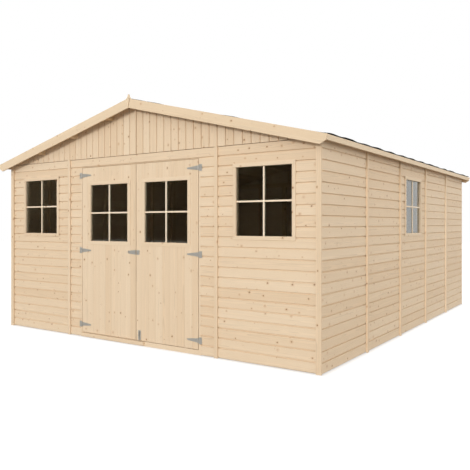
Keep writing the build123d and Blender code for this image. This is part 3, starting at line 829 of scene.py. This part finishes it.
def felt_sheet(whole, side, line, drift, lift=0.0):
    """Adds a sheet that follows a line of (run from the ridge, rise above the deck's
    underside), with slow waves, and a lifted edge at the line's end."""
    slopes = (math.cos(roof_pitch), math.sin(roof_pitch))
    count = round(2 * felt_end / felt_step)
    rings = []
    for index in range(count + 1):
        y = -felt_end + 2 * felt_end * index / count
        ring = []
        for number, (run, rise) in enumerate(line):
            wave = noise.noise(Vector((run * 1.5 + drift, y * 1.9, drift)))
            up = rise + felt_clear + felt_ripple * wave
            up -= felt_press * max(0, abs(y) - press_start)
            if lift and number >= len(line) - 2:
                share = 1 if number == len(line) - 1 else 0.3
                even, odd, pace = eave_swing
                crest = even * math.cos(math.tau * (y + press_start) / eave_wave)
                crest += odd * noise.noise(Vector((drift, y * pace, side)))
                up += share * lift * min(1, max(eave_least, eave_usual + crest))
            ring.append((run, up))
        ring += [(run, up + felt_thick) for run, up in reversed(ring)]
        # What starts at the ridge meets the other side's sheet above it
        ring = [(run if run > 0 else -up * math.tan(roof_pitch), up) for run, up in ring]
        rings.append([whole.verts.new((
            side * (run * slopes[0] + up * slopes[1]), y,
            ridge_underside - run * slopes[1] + up * slopes[0])) for run, up in ring])
    skinned(whole, rings)


def felt_piece(name, whole, cad_node):
    """Makes a piece of felt, with its faces turned outwards."""
    bmesh.ops.recalc_face_normals(whole, faces=whole.faces)
    joined(name, [mesh_of(name, whole)], felt_finish, "root", "roofing_felt", cad_node)


eave_run = felt_drip / math.cos(roof_pitch) - 0.005
lap_rise = felt_seat + felt_thick + 0.001
for name, side, cad_node in (("right_felt", 1, "right_roof_felt"),
                             ("left_felt", -1, "left_roof_felt")):
    whole = bmesh.new()
    first, second = course_joints
    eave_course = (second - course_lap, 1.6, eave_run - 0.16, eave_run - 0.05, eave_run)
    felt_sheet(whole, side, [(run, felt_seat) for run in eave_course], 3.0, eave_lift)
    for top, low, drift in ((first - course_lap, second, 7.0), (0, first, 11.0)):
        felt_sheet(whole, side, [(top, felt_seat), (low - course_lap - 0.06, felt_seat),
                                 (low - course_lap, lap_rise), (low - 0.03, lap_rise),
                                 (low, lap_rise)], drift, lap_lift)
    felt_piece(name, whole, cad_node)
whole = bmesh.new()
for side in (1, -1):
    felt_sheet(whole, side, [(0.0, lap_rise), (ridge_strip * 0.6, lap_rise),
                             (ridge_strip, lap_rise)], 15.0, ridge_lift)
felt_piece("ridge_cap", whole, "ridge_felt")


# Ironwork: hinges, hasp and bolt of galvanised sheet and rod, with faint zinc flowers. The
# CAD's own meshes are the pieces, pinned and screwed to the leaves and jambs.
def coated(material, *cad_nodes):
    """Gives its finish to CAD nodes that are seen as they are."""
    for name in cad_nodes:
        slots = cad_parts[name].data.materials
        slots.clear()
        slots.append(material)


steel = new_material("galvanised_steel")
tree = steel.node_tree
where = node(tree, "ShaderNodeTexCoord").outputs["Object"]
flower = node(tree, "ShaderNodeTexVoronoi", {"Vector": where, "Scale": 160.0})
tone = node(tree, "ShaderNodeMapRange", {
    "Value": flower.outputs["Distance"], "To Min": 0.28, "To Max": 0.5})
skin = node(tree, "ShaderNodeBsdfPrincipled", {
    "Base Color": paint(200, 198, 192), "Metallic": 0.4, "Roughness": tone.outputs[0]})
node(tree, "ShaderNodeOutputMaterial", {"Surface": skin.outputs[0]})
coated(steel, "hinge_plates", "right_door_hinge_straps", "left_door_hinge_straps",
       "hasp_flap", "hasp_plate", "bolt_holder", "bolt_rod")


# Panes: clear 4 mm glass, set in the grooves of the window liners. The CAD's own meshes
# are the pieces.
glass = new_material("window_glass")
tree = glass.node_tree
skin = node(tree, "ShaderNodeBsdfPrincipled", {
    "Base Color": paint(232, 238, 234), "Roughness": 0.0, "IOR": 1.5, "Transmission Weight": 1})
node(tree, "ShaderNodeOutputMaterial", {"Surface": skin.outputs[0]})
coated(glass, "wall_window_glass", "right_door_window_glass", "left_door_window_glass")


# Fixings: boards, strips and trim are nailed, and the hinges, hasp and bolt are screwed on
# with cross-slot screws.
nail_radius = 0.0022
nail_proud = 0.0003
screw_radius = 0.0036
screw_proud = 0.0012
slot_reach = 0.0022
slot_half = 0.0004


def nail_head():
    """Round flat head with a slight dome, facing -Y."""
    whole = bmesh.new()
    bmesh.ops.create_cone(whole, cap_ends=True, segments=8, radius1=nail_radius,
                          radius2=0.7 * nail_radius, depth=2 * nail_proud,
                          matrix=Matrix.Rotation(math.radians(90), 4, "X"))
    return mesh_of("nail_head", whole)


def screw_head():
    """Domed head with a cross slot sunk in it, facing -Y."""
    whole = bmesh.new()
    turns = [math.radians(30 * index + 15) for index in range(12)]
    outer = [(screw_radius * math.cos(a), screw_radius * math.sin(a)) for a in turns]
    inner = [(0.82 * x, 0.82 * y) for x, y in outer]
    cross = []
    for index in range(4):
        a = math.radians(90 * index)
        for x, y in ((slot_half, -slot_half), (slot_reach, -slot_half), (slot_reach, slot_half)):
            cross.append((x * math.cos(a) - y * math.sin(a), x * math.sin(a) + y * math.cos(a)))
    cross = cross[1:] + cross[:1]
    layers = [(outer, 0.0), (outer, -0.4 * screw_proud), (inner, -screw_proud),
              (cross, -screw_proud), (cross, -0.2 * screw_proud)]
    skinned(whole, [[whole.verts.new((x, y, z)) for x, z in points] for points, y in layers])
    bmesh.ops.recalc_face_normals(whole, faces=whole.faces)
    return mesh_of("screw_head", whole)


def fixings_tree():
    """A head on each point of the mesh, turned by Turn, and by chance about its own axis."""
    tree = bpy.data.node_groups.new("fixings", "GeometryNodeTree")
    new_sockets(tree, "OUTPUT", Geometry="Geometry")
    new_sockets(tree, "INPUT", Geometry="Geometry", Head="Object", Finish="Material",
                Turn="Vector", Seed="Int")
    given = node(tree, "NodeGroupInput").outputs
    head = node(tree, "GeometryNodeObjectInfo", {"Object": given["Head"]})
    spin = node(tree, "FunctionNodeRandomValue", {"Seed": given["Seed"]}, data_type="FLOAT")
    spin.inputs[3].default_value = math.tau
    own = node(tree, "ShaderNodeCombineXYZ", {1: spin.outputs[1]})
    own = node(tree, "FunctionNodeEulerToRotation", {0: own.outputs[0]})
    facing = node(tree, "FunctionNodeEulerToRotation", {0: given["Turn"]})
    turn = node(tree, "FunctionNodeRotateRotation", {0: facing.outputs[0], 1: own.outputs[0]},
                rotation_space="LOCAL")
    set_in = node(tree, "GeometryNodeInstanceOnPoints", {
        "Points": given["Geometry"], "Instance": head.outputs["Geometry"],
        "Rotation": turn.outputs[0]})
    real = node(tree, "GeometryNodeRealizeInstances", {0: set_in.outputs[0]})
    done = node(tree, "GeometryNodeSetMaterial", {
        "Geometry": real.outputs[0], "Material": given["Finish"]})
    node(tree, "NodeGroupOutput", {0: done.outputs[0]})
    return tree


fixings = fixings_tree()
heads = {"nail": new_object("nail_head", nail_head()),
         "screw": new_object("screw_head", screw_head())}
patterns += heads.values()
fixing_draw = random.Random(7)


def driven(kind, wall, spots, depth, seed):
    """Heads at (along the wall, height) spots of a wall, at a depth from its boards' face."""
    points = [wall_frame(wall) @ Vector((x, depth, z)) for x, z in spots]
    return grown(kind + "_heads", fixings, points, Head=heads[kind], Finish=steel,
                 Turn=(0, 0, math.radians(wall_turns[wall])), Seed=seed)


def astray(reach):
    """A small distance either way, as nails are set by eye."""
    return fixing_draw.uniform(-reach, reach)


def rows_of(columns, rows=wall_rows):
    """One nail near the lower edge of each board at each stud, not quite in line."""
    spots = []
    for x in columns:
        for row in range(rows):
            z = row * board_pitch + nail_height + astray(0.003)
            spots.append((x + astray(0.003), z))
    return spots


def along_strip(x, low, high, count):
    """Nails up a strip, evenly spaced."""
    return [(x + astray(0.002), low + (high - low) * index / (count - 1))
            for index in range(count)]


def trim_sides(middle, width, height, sill, trim):
    """Nails up both sides of a window's trim."""
    return [spot for x in (middle - width / 2 - trim / 2, middle + width / 2 + trim / 2)
            for spot in along_strip(x, sill - trim / 2, sill + height + trim / 2, 4)]


# Nails in the walls' boards, at the studs
nail_height = 0.020
face = board_skin - nail_proud
front_studs = (1.011, 1.168, 1.779)
doorway_studs = (0.822, 0.959)
header_nails = 1.845
bay_length = 0.966
joint_studs = (-0.025, 0.025)
end_posts = [-2.336, 2.336]
window_studs = [-0.3055, 0.3055]
back_studs = [-1.01, -0.96, -0.025, 0.025, 0.96, 1.01, -1.493, -0.4925, 0.4925, 1.493]
nails = []
spots = rows_of([side * x for x in front_studs for side in (1, -1)])
spots += rows_of([side * x for x in doorway_studs for side in (1, -1)], wall_rows - 1)
spots += [(x / 10, header_nails) for x in range(-9, 10, 3)]
nails.append(driven("nail", "front", spots, face, 1))
bays = [bay_length * bay - half_length for bay in range(6)]
middles = [bay_length * (bay + 0.5) - half_length for bay in range(5)]
joints = [edge + step for edge in bays[1:-1] for step in joint_studs]
beside_window = middles[:2] + middles[3:] + window_studs
nails.append(driven("nail", "right", rows_of(joints + end_posts + beside_window), face, 2))
nails.append(driven("nail", "left", rows_of(joints + end_posts + middles), face, 3))
nails.append(driven("nail", "back", rows_of(back_studs), face, 4))

# Nails in the battens and corner strips
strip_depth = 0.015
strip_nails = 7
batten_ends = (0.06, 1.83)
corner_ends = (0.05, 1.84)
end_joint = 0.985
corner_strip = 1.993
strip_face = -strip_depth - nail_proud / 2
for wall, places in (("front", (-end_joint, end_joint)), ("back", (-end_joint, 0, end_joint)),
                     ("right", bays[1:-1]), ("left", bays[1:-1])):
    spots = [spot for x in places for spot in along_strip(x, *batten_ends, strip_nails)]
    if wall in ("front", "back"):
        spots += [spot for x in (-corner_strip, corner_strip)
                  for spot in along_strip(x, *corner_ends, strip_nails)]
    nails.append(driven("nail", wall, spots, strip_face, 5))

# Nails in the gables' boards, the bargeboards and the eave boards
gable_nails = 1.912
gable_nailed = 1.9
purlin_nails = (0.09, 0.34, 0.885, 1.43, 2.03)
purlin_steps = (-0.004, -0.050)
gable_overhang = 0.110
eave_nails = 1.876
eave_nail_pitch = 0.41
eave_overhang = 0.083
for wall in ("front", "back"):
    spots = [(x * board_pitch + board_pitch / 2 + astray(0.004), gable_nails)
             for x in range(-22, 22) if abs(x + 0.5) * board_pitch < gable_nailed]
    nails.append(driven("nail", wall, spots, face, 6))
    spots = [(side * x, ridge_underside - x * math.tan(roof_pitch) + step)
             for side in (1, -1) for x in purlin_nails for step in purlin_steps]
    nails.append(driven("nail", wall, spots, nail_room - gable_overhang - nail_proud / 2, 7))
for wall in ("right", "left"):
    spots = [(eave_nail_pitch * index, eave_nails + astray(0.004)) for index in range(-6, 7)]
    nails.append(driven("nail", wall, spots, -eave_overhang - nail_proud / 2, 8))

# Nails in the trim of the wall windows
for nailed in ("front", "right"):
    spots = []
    for wall, middle, width, height, sill, trim, proud in windows["wall"][2]:
        if wall == nailed:
            spots += trim_sides(middle, width, height, sill, trim)
            spots += [(middle, sill - trim / 2), (middle, sill + height + trim / 2)]
    nails.append(driven("nail", nailed, spots, -proud - nail_proud / 2, 9))
joined("nails", nails, steel, "root", "galvanised_steel")

# Nails and screws in the leaves, and the screws of the hinge plates on the jambs
leaf_edge = 0.0035
leaf_nail_pitch = 0.0903
leaf_rails = (0.095, 0.987, 1.643, 1.770)
hinge_heights = (0.133, 0.920, 1.715)
strap_screws = ((0.762, 0.010), (0.762, -0.010), (0.722, 0), (0.672, 0))
plate_screws = ((0.797, 0.021), (0.797, -0.021), (0.814, 0.021), (0.814, -0.021))
hasp_screws = ((0.034, 0.930), (0.034, 0.906))
bolt_middle = 0.048
bolt_screws = [(bolt_middle + x, z) for x in (-0.0125, 0.0125) for z in (0.080, 0.126)]
hinge_sheet = 0.003
bolt_sheet = 0.002
for side, sign in (("right", 1), ("left", -1)):
    spots = [(sign * (leaf_edge + leaf_nail_pitch * (index + 0.45)), z)
             for index in range(8) for z in leaf_rails]
    pieces = [driven("nail", "front", spots, face, 11)]
    wall, middle, width, height, sill, trim, proud = windows[side + "_door"][2][0]
    spots = trim_sides(middle, width, height, sill, trim)
    pieces.append(driven("nail", "front", spots, -proud - nail_proud / 2, 12))
    spots = [(sign * x, z + step) for z in hinge_heights for x, step in strap_screws]
    pieces.append(driven("screw", "front", spots, -hinge_sheet, 13))
    if side == "right":
        pieces.append(driven("screw", "front", hasp_screws, -hinge_sheet, 14))
        pieces.append(driven("screw", "front", bolt_screws, -bolt_sheet, 15))
    joined(side + "_leaf_fixings", pieces, steel, side + "_leaf", "galvanised_steel")
spots = [(side * x, z + step) for side in (1, -1) for z in hinge_heights
         for x, step in plate_screws]
joined("hinge_screws", [driven("screw", "front", spots, -hinge_sheet, 16)], steel, "root",
       "galvanised_steel")
for spare in patterns:
    bpy.data.objects.remove(spare)
